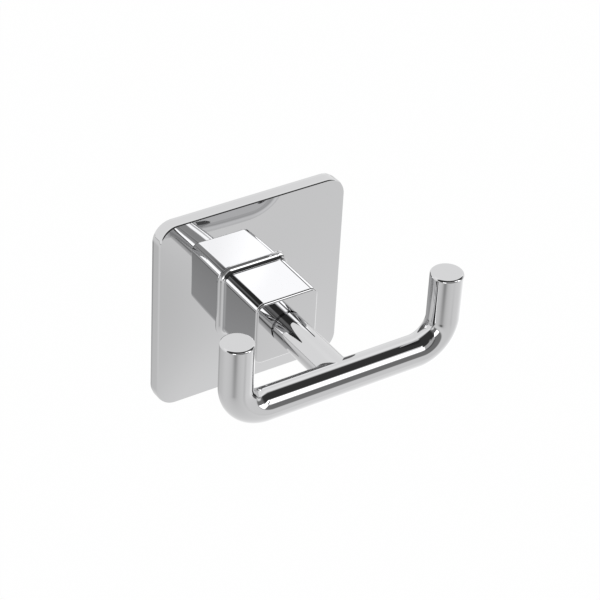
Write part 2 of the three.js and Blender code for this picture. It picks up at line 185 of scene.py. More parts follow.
def wire(sheet, shader, colour, roughness, relief):
    """Link what changes over the surface to the shader."""
    for socket, signal in (("Base Color", colour), ("Roughness", roughness), ("Normal", relief)):
        sheet.plug(signal, shader.inputs[socket])


print("shader arithmetic ready")

# %% [markdown]
# ## Mirror chrome
#
# Bright chrome on buffed brass reflects a bit more than half of the light, nearly without colour. Buffing
# leaves it almost, but not quite, even: hair-fine swirls that soften the reflection in places, and a very
# slight waviness. A fine noise gives the swirls, a broad one the clouds in which they lie, and a third the
# waves. All three stay so weak that they only show where a highlight ends.

# %% Mirror chrome
CHROME_WARM = (0.60, 0.60, 0.605, 1)
CHROME_COOL = (0.585, 0.588, 0.597, 1)
COOL_SHARE = 0.5
CHROME_SMOOTH = 0.018
CHROME_SWIRL = 0.03
SWIRL_RISE = (0.45, 0.75)
CLOUD_RISE = (0.4, 0.7)

mirror_chrome, shader, sheet, place = new_finish("mirror_chrome", {"Metallic": 1.0})
swirl = sheet.node("TexNoise", None, {"Vector": place, "Scale": 900.0, "Detail": 3.0, "Roughness": 0.6})
cloud = sheet.node("TexNoise", None, {"Vector": place, "Scale": 70.0, "Detail": 2.0})
wave = sheet.node("TexNoise", None, {"Vector": place, "Scale": 160.0, "Detail": 1.0})
haze = swirl.rising(*SWIRL_RISE) * cloud.rising(*CLOUD_RISE)
wire(sheet, shader, colour=(cloud * COOL_SHARE).tint(CHROME_WARM, CHROME_COOL),
     roughness=CHROME_SMOOTH + haze * CHROME_SWIRL,
     relief=wave.relief(strength=0.02, depth=0.05 * MM))
print("mirror chrome: roughness", CHROME_SMOOTH, "to", CHROME_SMOOTH + CHROME_SWIRL)

# %% [markdown]
# ## Plating inside the hollows
#
# The back of the plate and the inside of the post go through the same bath, but nobody buffs them. The
# plating there keeps the grain of the casting, so it is matt and a little darker. A mask could mix it into
# the chrome, but a second material is simpler, because the faces of a hollow are known by their place.

# %% Plating inside the hollows
HOLLOW_DARK = (0.42, 0.42, 0.43, 1)
HOLLOW_PALE = (0.52, 0.52, 0.525, 1)
HOLLOW_SMOOTH = 0.34
HOLLOW_GRAIN = 0.22
STAIN_RISE = (0.35, 0.7)

hollow_plating, shader, sheet, place = new_finish("hollow_plating", {"Metallic": 1.0})
grain = sheet.node("TexNoise", None, {"Vector": place, "Scale": 1400.0, "Detail": 4.0})
stain = sheet.node("TexNoise", None, {"Vector": place, "Scale": 130.0, "Detail": 3.0})
wire(sheet, shader, colour=stain.rising(*STAIN_RISE).tint(HOLLOW_DARK, HOLLOW_PALE),
     roughness=HOLLOW_SMOOTH + grain * HOLLOW_GRAIN,
     relief=grain.relief(strength=0.35, depth=0.06 * MM))
print("hollow plating: roughness", HOLLOW_SMOOTH, "to", HOLLOW_SMOOTH + HOLLOW_GRAIN)

# %% [markdown]
# ## Rings of rounded squares
#
# Plate and post are both square with rounded corners, and every section through them is such a square of
# another size. One rectangle of four vertices whose corners are beveled makes a section. `bridge_loops`
# then skins one section to the next. All the sections of a piece have the same number of points, so the
# skin is clean quads. Flat sides stay single faces, and a side that has to bow gets a few cuts.
#
# Two sections in one plane don't tell `bridge_loops` which way round they run, and it may cross them. So
# the sections are pulled apart like the leaves of a book, bridged, and put back.

# %% Rings of rounded squares
CORNER_STEPS = 15
RING_POINTS = 4 * (CORNER_STEPS + 1)
LEAF_GAP = 5 * MM
QUARTERS = ((1, 1), (-1, 1), (-1, -1), (1, -1))


def rounded_ring(bm, half_x, half_z, radius, y, side_cuts=0):
    """The edges of an upright rounded rectangle at depth y, with some cuts in each straight side."""
    older_edges, older_faces = set(bm.edges), set(bm.faces)
    corners = [bm.verts.new((x * half_x, y, z * half_z)) for x, z in QUARTERS]
    bm.faces.new(corners)
    bmesh.ops.bevel(bm, geom=corners, offset=radius, offset_type="OFFSET", affect="VERTICES",
                    segments=CORNER_STEPS, profile=0.5, material=-1)
    face = (set(bm.faces) - older_faces).pop()
    sides = sorted(face.edges, key=lambda edge: edge.calc_length())[-len(QUARTERS):]
    bmesh.ops.delete(bm, geom=[face], context="FACES_ONLY")
    if side_cuts:
        bmesh.ops.subdivide_edges(bm, edges=sides, cuts=side_cuts)
    return [edge for edge in bm.edges if edge not in older_edges]


def square_ring(bm, half, radius, y, side_cuts=0):
    return rounded_ring(bm, half, half, radius, y, side_cuts)


def skin(bm, rings, closed=False):
    """Bridge each ring to the next, and the last to the first if closed, while they are pulled apart."""
    homes = {}
    for leaf, ring in enumerate(rings):
        for vert in {vert for edge in ring for vert in edge.verts}:
            homes[vert] = vert.co.y
            vert.co.y = -leaf * LEAF_GAP
    followers = rings[1:] + (rings[:1] if closed else [])
    for ring, follower in zip(rings, followers):
        bmesh.ops.bridge_loops(bm, edges=ring + follower)
    for vert, y in homes.items():
        vert.co.y = y


def quarter_turn(steps):
    """Angles from 0 to 90 degrees."""
    return [math.pi / 2 * step / steps for step in range(steps + 1)]


print("a ring has", RING_POINTS, "points")

# %% [markdown]
# A mirror shows every wrong normal. Smooth shading rounds each face over towards its neighbours, which
# would bend the reflection on a flat side. The Weighted Normal modifier lets large faces win, so flat
# stays flat and only the small faces of a rounding turn. Corners that are sharp on purpose are marked.

# %% From bmesh to piece
WELD = 0.0005 * MM
SHARP_ANGLE = math.radians(40)


def make_piece(name, bm, slot, *finishes):
    """Weld and smooth a bmesh, and hand it over as a piece that rides with the hook."""
    bmesh.ops.remove_doubles(bm, verts=bm.verts, dist=WELD)
    bmesh.ops.recalc_face_normals(bm, faces=bm.faces)
    if bm.calc_volume(signed=True) < 0:
        bmesh.ops.reverse_faces(bm, faces=bm.faces)
    for face in bm.faces:
        face.smooth = True
    for edge in bm.edges:
        edge.smooth = edge.calc_face_angle(0.0) < SHARP_ANGLE
    faults = sum(not edge.is_contiguous for edge in bm.edges)
    volume = bm.calc_volume(signed=True) / MM ** 3
    mesh = bpy.data.meshes.new(name)
    bm.to_mesh(mesh)
    bm.free()
    for finish in finishes:
        mesh.materials.append(finish)
    piece = bpy.data.objects.new(name, mesh)
    bpy.context.scene.collection.objects.link(piece)
    piece.modifiers.new("flat faces stay flat", "WEIGHTED_NORMAL").keep_sharp = True
    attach(piece, "root")
    print(name, len(mesh.polygons), "faces,", faults, "open or crossed edges,", round(volume), "mm3")
    return piece


print("edges that turn by", round(math.degrees(SHARP_ANGLE)), "degrees or more stay sharp")

# %% [markdown]
# ## Cover plate
#
# The plate is a shell: a face, a rim that stands on the wall, and a hollow behind it for the bracket. The
# rim rounds over towards the face but meets it in a crisp line, as a face does that was buffed last, and
# it draws in a little at the wall. The face looks flat, yet it swells by four tenths of a millimetre
# towards the middle, which shows in the way it bends the mirrored bar. A formula gives that crown.

# %% Crown of the plate
_, plate_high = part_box("cover_plate")
PLATE_HALF = plate_high.x
PLATE_THICKNESS = 3.7 * MM
PLATE_CORNER = 5 * MM
PLATE_EDGE = 1.4 * MM
PLATE_EDGE_TURN = math.radians(32)
FACE_HALF = PLATE_HALF - PLATE_EDGE * (1 - math.cos(PLATE_EDGE_TURN))
CROWN = 0.39 * MM
CROWN_POWER = 3


def face_depth(x, z):
    """Where the plate's face lies: it swells from its edge towards the middle."""
    fall_x, fall_z = (1 - abs(place / FACE_HALF) ** CROWN_POWER for place in (x, z))
    return -PLATE_THICKNESS - CROWN * fall_x * fall_z


def lay_on_face(ring, lift=0.0):
    """Move the points of a ring on to the plate's face, or a little in front of it."""
    for vert in {vert for edge in ring for vert in edge.verts}:
        vert.co.y = face_depth(vert.co.x, vert.co.z) - lift


print("the plate's middle lies", round(-face_depth(0, 0) / MM, 2), "mm from the wall")

# %% [markdown]
# A box with a Bevel would round the edge towards the face as well, and its face would be flat. So the
# section is one closed path, from the hole over the face, round the edge, along the rim and back through
# the hollow, and the plate is skinned along it, ring by ring. The rings of the face lie on the crown.

# %% Cover plate
bracket_low, bracket_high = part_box("wall_bracket")
PLATE_RIM = 1.8 * MM
CROWN_STEPS = 14
SIDE_CUTS = 13
EDGE_STEPS = 8
RIM_BREAK = 0.2 * MM
BACK_DRAFT = Vector((0.2, 1.0)) * MM
DRAFT_STEPS = (0, 0.1, 1)
BRACKET_ROOM = 0.4 * MM
POCKET_HALF = PLATE_HALF - PLATE_RIM
POCKET_CORNER = PLATE_CORNER - PLATE_RIM
POCKET_FLOOR = bracket_low.y - BRACKET_ROOM
POCKET_FILLET = 0.5 * MM
LIP_HALF = 7.4 * MM
LIP_CORNER = 2.2 * MM
LIP_ROOM = 0.3 * MM


def plate_rings(bm):
    """The plate's rings, from its hole over the face, the rim and the hollow back to the hole."""
    hole = Vector((LIP_HALF + LIP_ROOM, LIP_CORNER + LIP_ROOM))
    brink = Vector((FACE_HALF, PLATE_CORNER - PLATE_HALF + FACE_HALF))
    steps = [hole.lerp(brink, step / CROWN_STEPS) for step in range(CROWN_STEPS)]
    face = [square_ring(bm, *step, -PLATE_THICKNESS, SIDE_CUTS) for step in steps]
    for ring in face:
        lay_on_face(ring)
    path = []
    for step in range(EDGE_STEPS, -1, -1):
        angle = PLATE_EDGE_TURN * step / EDGE_STEPS
        inset = PLATE_EDGE * (1 - math.cos(angle))
        y = -PLATE_THICKNESS + PLATE_EDGE * (math.sin(PLATE_EDGE_TURN) - math.sin(angle))
        path.append((PLATE_HALF - inset, PLATE_CORNER - inset, y))
    for share in DRAFT_STEPS:
        inset = BACK_DRAFT.x * share
        path.append((PLATE_HALF - inset, PLATE_CORNER - inset, -BACK_DRAFT.y * (1 - share)))
    path.append((POCKET_HALF + RIM_BREAK, POCKET_CORNER + RIM_BREAK, 0))
    path.append((POCKET_HALF, POCKET_CORNER, -RIM_BREAK))
    for angle in quarter_turn(EDGE_STEPS):
        inset = POCKET_FILLET * (1 - math.cos(angle))
        y = POCKET_FLOOR + POCKET_FILLET * (1 - math.sin(angle))
        path.append((POCKET_HALF - inset, POCKET_CORNER - inset, y))
    path.append((*hole, POCKET_FLOOR))
    return face + [square_ring(bm, *section, SIDE_CUTS) for section in path]


bm = bmesh.new()
rings = plate_rings(bm)
skin(bm, rings, closed=True)
for face in bm.faces:
    middle = face.calc_center_median()
    behind_rim = max(abs(middle.x), abs(middle.z)) < POCKET_HALF + RIM_BREAK
    face.material_index = int(behind_rim and middle.y > POCKET_FLOOR - WELD)
plate = make_piece("plate_shell", bm, "chrome", mirror_chrome, hollow_plating)
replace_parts(plate, "cover_plate")

# %% [markdown]
# ## Post
#
# The post is a square tube with a closed front. It starts as a lip in the plate's hole, spreads into a
# low foot, sweeps up through a cove into the long sides and ends in a small rounding at the front. Inside
# there is a square socket for the bracket's spigot, and a round hole in the front for the rod's tenon.
# The front face is bridged from the last square ring to that round hole, which has as many points.

# %% Post outside and inside
post_low, post_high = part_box("post")
POST_HALF = 8.5 * MM
POST_EDGE = 2.2 * MM
POST_FRONT = post_low.y
POST_FRONT_EDGE = 0.6 * MM
LIP_BACK = post_high.y
FOOT_COVE = 1.4 * MM
FOOT_LAND = 0.1 * MM
FOOT_SEAT = face_depth(0, 0)
FOOT_TOP = FOOT_SEAT - FOOT_LAND - FOOT_COVE
SEAT_GAP = 0.02 * MM
SOCKET_HALF = 6 * MM
SOCKET_CORNER = 0.8 * MM
FRONT_WALL = 2.6 * MM
SOCKET_END = POST_FRONT + FRONT_WALL
TENON_HOLE = 3.3 * MM
UPRIGHT = Matrix.Rotation(math.pi / 2, 4, "X")


def round_ring(bm, radius, y):
    """The edges of an upright circle at depth y, with as many points as a square ring."""
    half_step = Matrix.Rotation(math.pi / RING_POINTS, 4, "Y")
    made = bmesh.ops.create_circle(bm, segments=RING_POINTS, radius=radius,
                                   matrix=Matrix.Translation((0, y, 0)) @ half_step @ UPRIGHT)
    return list({edge for vert in made["verts"] for edge in vert.link_edges})


def post_rings(bm):
    """The post's rings, outside from the lip to the front, then back through the hole and the socket."""
    path = [(LIP_HALF, LIP_CORNER, LIP_BACK), (LIP_HALF, LIP_CORNER, FOOT_SEAT),
            (POST_HALF + FOOT_COVE, POST_EDGE + FOOT_COVE, FOOT_SEAT)]
    for angle in quarter_turn(EDGE_STEPS):
        spread = FOOT_COVE * (1 - math.sin(angle))
        path.append((POST_HALF + spread, POST_EDGE + spread, FOOT_TOP + FOOT_COVE * math.cos(angle)))
    for angle in quarter_turn(EDGE_STEPS):
        inset = POST_FRONT_EDGE * (1 - math.cos(angle))
        y = POST_FRONT + POST_FRONT_EDGE * (1 - math.sin(angle))
        path.append((POST_HALF - inset, POST_EDGE - inset, y))
    outside = [square_ring(bm, *section) for section in path]
    seat = outside[1:3]
    for ring in seat:
        lay_on_face(ring, SEAT_GAP)
    hole = [round_ring(bm, TENON_HOLE, POST_FRONT), round_ring(bm, TENON_HOLE, SOCKET_END)]
    socket = [square_ring(bm, SOCKET_HALF, SOCKET_CORNER, y) for y in (SOCKET_END, LIP_BACK)]
    return outside + hole + socket


bm = bmesh.new()
rings = post_rings(bm)
skin(bm, rings, closed=True)
print("post skinned from", len(rings), "rings")

# %% [markdown]
# The grub screw goes in from below, where nobody looks. A Boolean would cut its hole as well, but may leave
# slivers. The hole only passes two flat faces, the underside and the floor of the socket: each face is taken
# out, a circle is set in its plane, and what lies between the old outline and the circle is filled. The two
# circles are then bridged to each other.

# %% Hole for the grub screw
grub_low, grub_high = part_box("grub_screw")
GRUB_PLACE = (grub_low.y + grub_high.y) / 2
GRUB_ROOM = 0.3 * MM
GRUB_HOLE = (grub_high.x - grub_low.x) / 2 + GRUB_ROOM
HOLE_SIDES = 48


def flat_face_below(bm, z):
    """The level face at that height that lies over the grub screw's place."""
    for face in bm.faces:
        depths = [vert.co.y for vert in face.verts]
        level = all(abs(vert.co.z - z) < WELD for vert in face.verts)
        if level and min(depths) < GRUB_PLACE < max(depths):
            return face


def drill_from_below(bm):
    """Cut the hole for the grub screw into the post's underside and into its socket."""
    rims = []
    for z in (-POST_HALF, -SOCKET_HALF):
        face = flat_face_below(bm, z)
        outline = list(face.edges)
        bmesh.ops.delete(bm, geom=[face], context="FACES_ONLY")
        made = bmesh.ops.create_circle(bm, segments=HOLE_SIDES, radius=GRUB_HOLE,
                                       matrix=Matrix.Translation((0, GRUB_PLACE, z)))
        rim = list({edge for vert in made["verts"] for edge in vert.link_edges})
        bmesh.ops.triangle_fill(bm, use_beauty=True, use_dissolve=False, edges=outline + rim)
        rims += rim
    bmesh.ops.bridge_loops(bm, edges=rims)


drill_from_below(bm)
for face in bm.faces:
    middle = face.calc_center_median()
    inside = max(abs(middle.x), abs(middle.z)) < SOCKET_HALF + WELD and middle.y > POST_FRONT + WELD
    face.material_index = int(inside or middle.y > FOOT_SEAT - WELD)
post = make_piece("post_shell", bm, "chrome", mirror_chrome, hollow_plating)
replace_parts(post, "post")

# %% [markdown]
# ## Rod: stem, bar and arms
#
# One round rod stands on the post, another crosses its end, and the crossing bar's ends are bent up. They
# are brazed and polished until they look like one piece, so here they are one piece. A curve with a bevel
# would give the bent bar, but where it ran into the stem a mirror would show the seam.
#
# Only the right half is drawn. It starts as the flat top of the arm, is extruded down, spun through the
# bend and extruded towards the middle.

# %% Right half of the bar
bar_low, bar_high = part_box("hook_bar")
ROD_RADIUS = -bar_low.z
BAR_DEPTH = (bar_low.y + bar_high.y) / 2
ARM_X = bar_high.x - ROD_RADIUS
ARM_TOP = bar_high.z
BEND_RADIUS = 7.8 * MM
BEND_STEPS = 24
TEE_START = 2 * ROD_RADIUS


def far_edges(geom):
    """Of what an extrusion made, the edges between two of its new vertices, and those vertices."""
    verts = [item for item in geom if isinstance(item, bmesh.types.BMVert)]
    new = set(verts)
    edges = [item for item in geom if isinstance(item, bmesh.types.BMEdge) and new.issuperset(item.verts)]
    return edges, verts


def drawn_on(bm, edges):
    """Extrude a row of edges in place and return the new row with its vertices."""
    return far_edges(bmesh.ops.extrude_edge_only(bm, edges=edges)["geom"])


bm = bmesh.new()
bmesh.ops.create_circle(bm, cap_ends=True, segments=RING_POINTS, radius=ROD_RADIUS,
                        matrix=Matrix.Translation((ARM_X, BAR_DEPTH, ARM_TOP)))
ring, verts = drawn_on(bm, list(bm.edges))
bmesh.ops.translate(bm, verts=verts, vec=(0, 0, BEND_RADIUS - ARM_TOP))
bend = bmesh.ops.spin(bm, geom=ring, cent=(ARM_X - BEND_RADIUS, BAR_DEPTH, BEND_RADIUS), axis=(0, 1, 0),
                      dvec=(0, 0, 0), angle=math.pi / 2, steps=BEND_STEPS, use_merge=False,
                      use_normal_flip=False, use_duplicate=False)
ring, _ = far_edges(bend["geom_last"])
ring, verts = drawn_on(bm, ring)
for vert in verts:
    vert.co.x = TEE_START
print("half bar with", len(bm.faces), "faces")

# %% [markdown]
# The T in the middle needs a thought. Cut by any level plane, bar and stem are two bands of the same width
# that meet at a right angle, and the corner between them is rounded in proportion. So the points of the ring
# that face the wall slide along that rounding, each by its own distance from the axis, and the ring of the
# bar turns into the ring of the stem. The left half is then mirrored from the right one.

# %% The T where bar and stem meet
BRAZE_FILLET = 0.7 * MM
FILLET_STEPS = 6


def slide(verts, turn):
    """Move the points that face the wall to an angle of the braze: 0 is on the bar, 90 on the stem."""
    share = BRAZE_FILLET / ROD_RADIUS
    for vert, off_axis in verts:
        vert.co.x = off_axis * (1 + share - share * math.sin(turn))
        vert.co.y = BAR_DEPTH + off_axis * (1 + share - share * math.cos(turn))


ring, verts = drawn_on(bm, ring)
slide([(vert, max(vert.co.y - BAR_DEPTH, 0.0)) for vert in verts if vert.co.y > BAR_DEPTH - WELD], 0)
for vert in verts:
    if vert.co.y < BAR_DEPTH + WELD:
        vert.co.x = 0
row = [edge for edge in ring if all(vert.co.y > BAR_DEPTH - WELD for vert in edge.verts)]
for turn in quarter_turn(FILLET_STEPS)[1:]:
    row, verts = drawn_on(bm, row)
    reach = [math.sqrt(max(ROD_RADIUS ** 2 - vert.co.z ** 2, 0.0)) for vert in verts]
    slide(list(zip(verts, reach)), turn)
bmesh.ops.remove_doubles(bm, verts=bm.verts, dist=WELD)
bmesh.ops.mirror(bm, geom=bm.verts[:] + bm.edges[:] + bm.faces[:], axis="X", merge_dist=WELD)
bmesh.ops.remove_doubles(bm, verts=bm.verts, dist=WELD)
print("whole bar with", len(bm.faces), "faces")

# %% [markdown]
# The open ring that is left is the stem's. It is drawn out almost to the post, where a narrow groove makes
# the dark line at its foot, and goes on as the tenon with its two flats and the bore for the clamping
# screw. Last of all the rims of the two tips are rounded.

# %% Stem, tenon and tips
_, stem_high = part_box("hook_stem")
GROOVE_WIDTH = 0.4 * MM
GROOVE_RADIUS = 3.6 * MM
TENON_RADIUS = 3.25 * MM
TENON_HALF_FLAT = 2.85 * MM
BORE_RADIUS = 2.3 * MM
BORE_END = -30.6 * MM
TIP_EDGE = 0.6 * MM


def turned_on(bm, ring, radius, y):
    """Extrude a ring round the y axis and give it a new radius and depth."""
    ring, verts = drawn_on(bm, ring)
    for vert in verts:
        across = Vector((vert.co.x, 0, vert.co.z)).normalized() * radius
        vert.co = Vector((across.x, y, across.z))
    return ring, verts


ring = [edge for edge in bm.edges if edge.is_boundary]
for radius, y in ((ROD_RADIUS, POST_FRONT - GROOVE_WIDTH), (GROOVE_RADIUS, POST_FRONT - GROOVE_WIDTH),
                  (GROOVE_RADIUS, POST_FRONT), (TENON_RADIUS, POST_FRONT), (TENON_RADIUS, stem_high.y)):
    ring, verts = turned_on(bm, ring, radius, y)
    if radius == TENON_RADIUS:
        for vert in verts:
            vert.co.x = max(-TENON_HALF_FLAT, min(TENON_HALF_FLAT, vert.co.x))
for y in (stem_high.y, BORE_END):
    ring, verts = turned_on(bm, ring, BORE_RADIUS, y)
bmesh.ops.edgeloop_fill(bm, edges=ring)
rims = [edge for edge in bm.edges if all(abs(vert.co.z - ARM_TOP) < WELD for vert in edge.verts)]
bmesh.ops.bevel(bm, geom=rims, offset=TIP_EDGE, offset_type="OFFSET", affect="EDGES", segments=EDGE_STEPS,
                profile=0.5, material=-1)
rod = make_piece("hook_rod", bm, "chrome", mirror_chrome)
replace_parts(rod, "hook_stem", "hook_bar")

# %% [markdown]
# ## Zinc on the hidden steel
#
# The bracket and its screws are pressed and rolled from mild steel and plated with bright zinc. Seen close,
# the plating is a quilt of tiny crystals, each a touch lighter or bluer than the next, with faint lines
# from the rolling mill. Voronoi cells give each crystal its tone, and a noise that is stretched along the
# strip by a Mapping node gives the lines.

# %% Zinc on the hidden steel
ZINC_BLUE = (0.52, 0.54, 0.58, 1)
ZINC_WHITE = (0.70, 0.70, 0.69, 1)
ZINC_SMOOTH = 0.24
ZINC_DULL = 0.1
CRYSTAL_SHARE = 0.6

zinc_plate, shader, sheet, place = new_finish("zinc_plate", {"Metallic": 1.0})
crystals = sheet.node("TexVoronoi", None, {"Vector": place, "Scale": 1100.0}, output="Color")
crystal = sheet.node("SeparateColor", None, {"Color": crystals})
lengthwise = sheet.node("Mapping", None, {"Vector": place, "Scale": (150.0, 3000.0, 3000.0)})
rolling = sheet.node("TexNoise", None, {"Vector": lengthwise, "Scale": 1.0, "Detail": 2.0})
quilt = crystal * CRYSTAL_SHARE + rolling * (1 - CRYSTAL_SHARE)
wire(sheet, shader, colour=quilt.tint(ZINC_BLUE, ZINC_WHITE),
     roughness=ZINC_SMOOTH + (crystal + rolling) * ZINC_DULL,
     relief=quilt.relief(strength=0.3, depth=0.03 * MM))
print("zinc: roughness from", ZINC_SMOOTH)

# %% [markdown]
# ## Wall bracket
#
# Behind the plate hides a strip of pressed steel. The hole in its middle holds the spread end of the
# spigot, and two countersunk slots, one level and one upright, let the hook be set straight when the holes
# in the wall are not. The strip's soft edge is skinned from rings, like the plate's. A slot is a circle
# whose halves are drawn apart. Front and back are then filled between outline and holes in one go.

# %% Wall bracket
screw_low, screw_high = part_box("wall_screw_right")
SCREW_X = (screw_low.x + screw_high.x) / 2
SCREW_HEAD = (screw_high.x - screw_low.x) / 2
STRIP_FRONT = bracket_low.y
STRIP_CORNER = 3 * MM
STRIP_EDGE = 0.3 * MM
STRIP_EDGE_STEPS = 3
SLOT_TRAVEL = 1.2 * MM
SLOT_ROOM = 0.42 * MM
STAKE_HALF = 3.3 * MM
STAKE_CORNER = 1.2 * MM
STAKE_FLARE = 0.7 * MM
STAKE_FLARE_DEPTH = 0.8 * MM
LEVEL = Vector((1, 0, 0))
PLUMB = Vector((0, 0, 1))


def slot_ring(bm, x, along, radius, y):
    """The edges of an upright slot: a circle whose two halves are drawn apart."""
    half_step = Matrix.Rotation(math.pi / HOLE_SIDES, 4, "Y")
    made = bmesh.ops.create_circle(bm, segments=HOLE_SIDES, radius=radius,
                                   matrix=Matrix.Translation((x, y, 0)) @ half_step @ UPRIGHT)
    middle = Vector((x, y, 0))
    for vert in made["verts"]:
        vert.co += along * math.copysign(SLOT_TRAVEL, (vert.co - middle).dot(along))
    return list({edge for vert in made["verts"] for edge in vert.link_edges})


def strip_outline(bm):
    """The rings of the strip's soft edge, from front to back."""
    rounding = [(STRIP_EDGE * (1 - math.sin(angle)), STRIP_EDGE * (1 - math.cos(angle)))
                for angle in quarter_turn(STRIP_EDGE_STEPS)]
    path = [(inset, STRIP_FRONT + drop) for inset, drop in rounding]
    path += [(inset, -drop) for inset, drop in reversed(rounding)]
    return [rounded_ring(bm, bracket_high.x - inset, bracket_high.z - inset, STRIP_CORNER - inset, y)
            for inset, y in path]


def strip_holes(bm):
    """The rings of the two slots and of the spigot's hole, each from front to back."""
    mouth = SCREW_HEAD + SLOT_ROOM
    cone = ((mouth, STRIP_FRONT), (mouth + STRIP_FRONT, 0))
    stake = ((STAKE_HALF, STRIP_FRONT), (STAKE_HALF, -STAKE_FLARE_DEPTH), (STAKE_HALF + STAKE_FLARE, 0))
    holes = [[slot_ring(bm, x, along, *section) for section in cone]
             for x, along in ((-SCREW_X, LEVEL), (SCREW_X, PLUMB))]
    return holes + [[square_ring(bm, half, STAKE_CORNER, y) for half, y in stake]]


bm = bmesh.new()
walls = [strip_outline(bm)] + strip_holes(bm)
for rings in walls:
    skin(bm, rings)
for end in (0, -1):
    rims = [edge for rings in walls for edge in rings[end]]
    bmesh.ops.triangle_fill(bm, use_beauty=True, use_dissolve=False, edges=rims, normal=(0, 1, 0))
strip = make_piece("wall_strip", bm, "zinc_plated_steel", zinc_plate)
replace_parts(strip, "wall_bracket")

# %% [markdown]
# ## Wall screws
#
# Two countersunk screws hold the strip. A screw's core could be stacked from cylinders and cones, but one
# profile that is spun once round the screw's axis gives head, neck and point without a seam.

# %% Core of a wall screw
SCREW_TIP = screw_high.y
SCREW_POINT = 4 * MM
SCREW_CORE = 1.4 * MM
SCREW_NECK = 1.75 * MM
NECK_END = 0.8 * MM
HEAD_LAND = 0.15 * MM
SCREW_SIDES = 32


def chain(bm, points):
    """A row of edges through points given as radius and depth."""
    verts = [bm.verts.new((radius, y, 0)) for radius, y in points]
    return [bm.edges.new(pair) for pair in zip(verts, verts[1:])]


def spun(bm, edges, turns, climb):
    """Spin edges round the screw's axis, and up it by the climb of each turn."""
    return bmesh.ops.spin(bm, geom=edges, cent=(0, 0, 0), axis=(0, 1, 0), dvec=(0, climb / SCREW_SIDES, 0),
                          angle=2 * math.pi * turns, steps=SCREW_SIDES * turns, use_merge=climb == 0,
                          use_normal_flip=False, use_duplicate=False)


def screw_core(bm):
    """Head, neck, core and point of a screw, without the top of the head."""
    head = [(SCREW_HEAD - HEAD_LAND, STRIP_FRONT), (SCREW_HEAD, STRIP_FRONT + HEAD_LAND)]
    shank = [(SCREW_NECK, NECK_END / 2), (SCREW_CORE, NECK_END)]
    point = [(SCREW_CORE, SCREW_TIP - SCREW_POINT), (0, SCREW_TIP)]
    spun(bm, chain(bm, head + shank + point), 1, 0)


print("a wall screw reaches", round(SCREW_TIP / MM, 1), "mm into the wall")

# %% [markdown]
# A Screw modifier could wind the thread, but it would start and end with a full section. So a small triangle
# is spun ten times and climbs a little with each step, then sinks into the core at its start and runs out on
# the point.

# %% Thread of a wall screw
THREAD_CREST = 2 * MM
THREAD_ROOT = 1.3 * MM
THREAD_WIDTH = 0.9 * MM
THREAD_PITCH = 1.6 * MM
THREAD_START = 0.9 * MM
THREAD_TURNS = 10


def screw_thread(bm):
    """A thread that rises out of the core and runs out on the point."""
    older = set(bm.verts)
    root = (THREAD_ROOT, THREAD_START)
    crest = (THREAD_CREST, THREAD_START + THREAD_WIDTH / 2)
    edges = chain(bm, [root, crest, (THREAD_ROOT, THREAD_START + THREAD_WIDTH)])
    edges.append(bm.edges.new((edges[0].verts[0], edges[-1].verts[1])))
    last = spun(bm, edges, THREAD_TURNS, THREAD_PITCH)["geom_last"]
    for row in (edges, [item for item in last if isinstance(item, bmesh.types.BMEdge)]):
        bmesh.ops.edgeloop_fill(bm, edges=row)
    for vert in set(bm.verts) - older:
        radius = math.hypot(vert.co.x, vert.co.z)
        rise = min(1, (vert.co.y - THREAD_START) / THREAD_PITCH)
        run_out = max(0, min(1, (SCREW_TIP - vert.co.y) / SCREW_POINT))
        wanted = (THREAD_ROOT + (radius - THREAD_ROOT) * rise) * run_out
        vert.co.x, vert.co.z = vert.co.x * wanted / radius, vert.co.z * wanted / radius


print("the thread makes", THREAD_TURNS, "turns of", round(THREAD_PITCH / MM, 1), "mm")

# %% [markdown]
# The driver's cross could be cut with a Boolean too. It is simpler to start from a grid of nine squares
# without its corners and to push that into the head. The top of the head is then filled between its rim and
# the cross.

# %% Driver's cross, and both screws
CROSS_WIDTH = 0.9 * MM
CROSS_SPAN = 4 * MM
CROSS_DEPTH = 1.2 * MM
CROSS_TAPER = 0.8
HEAD_AXES = (0, 2)


def drive_cross(bm):
    """The sunk cross for the driver, open at the top of the head."""
    made = bmesh.ops.create_grid(bm, x_segments=3, y_segments=3, size=CROSS_SPAN / 2,
                                 matrix=Matrix.Translation((0, STRIP_FRONT, 0)) @ UPRIGHT)
    for vert in made["verts"]:
        for axis in HEAD_AXES:
            if abs(vert.co[axis]) < CROSS_SPAN / 2 - WELD:
                vert.co[axis] = math.copysign(CROSS_WIDTH / 2, vert.co[axis])
    squares = {face for vert in made["verts"] for face in vert.link_faces}
    corners = [square for square in squares
               if all(abs(square.calc_center_median()[axis]) > CROSS_WIDTH / 2 for axis in HEAD_AXES)]
    cross = list(squares.difference(corners))
    bmesh.ops.delete(bm, geom=corners, context="FACES")
    sunk = [item for item in bmesh.ops.extrude_face_region(bm, geom=cross)["geom"]
            if isinstance(item, bmesh.types.BMVert)]
    bmesh.ops.translate(bm, verts=sunk, vec=(0, CROSS_DEPTH, 0))
    bmesh.ops.scale(bm, verts=sunk, vec=(CROSS_TAPER, 1, CROSS_TAPER))
    lids = [square for square in cross if square.is_valid]
    bmesh.ops.delete(bm, geom=lids, context="FACES_KEEP_BOUNDARY")


def threaded_screw(name, x):
    """A whole screw, at its place along the strip."""
    bm = bmesh.new()
    screw_core(bm)
    drive_cross(bm)
    rims = [edge for edge in bm.edges if all(abs(vert.co.y - STRIP_FRONT) < WELD for vert in edge.verts)]
    bmesh.ops.triangle_fill(bm, use_beauty=True, use_dissolve=False, edges=rims, normal=(0, 1, 0))
    screw_thread(bm)
    bmesh.ops.translate(bm, verts=bm.verts, vec=(x, 0, 0))
    return make_piece(name, bm, "zinc_plated_steel", zinc_plate)


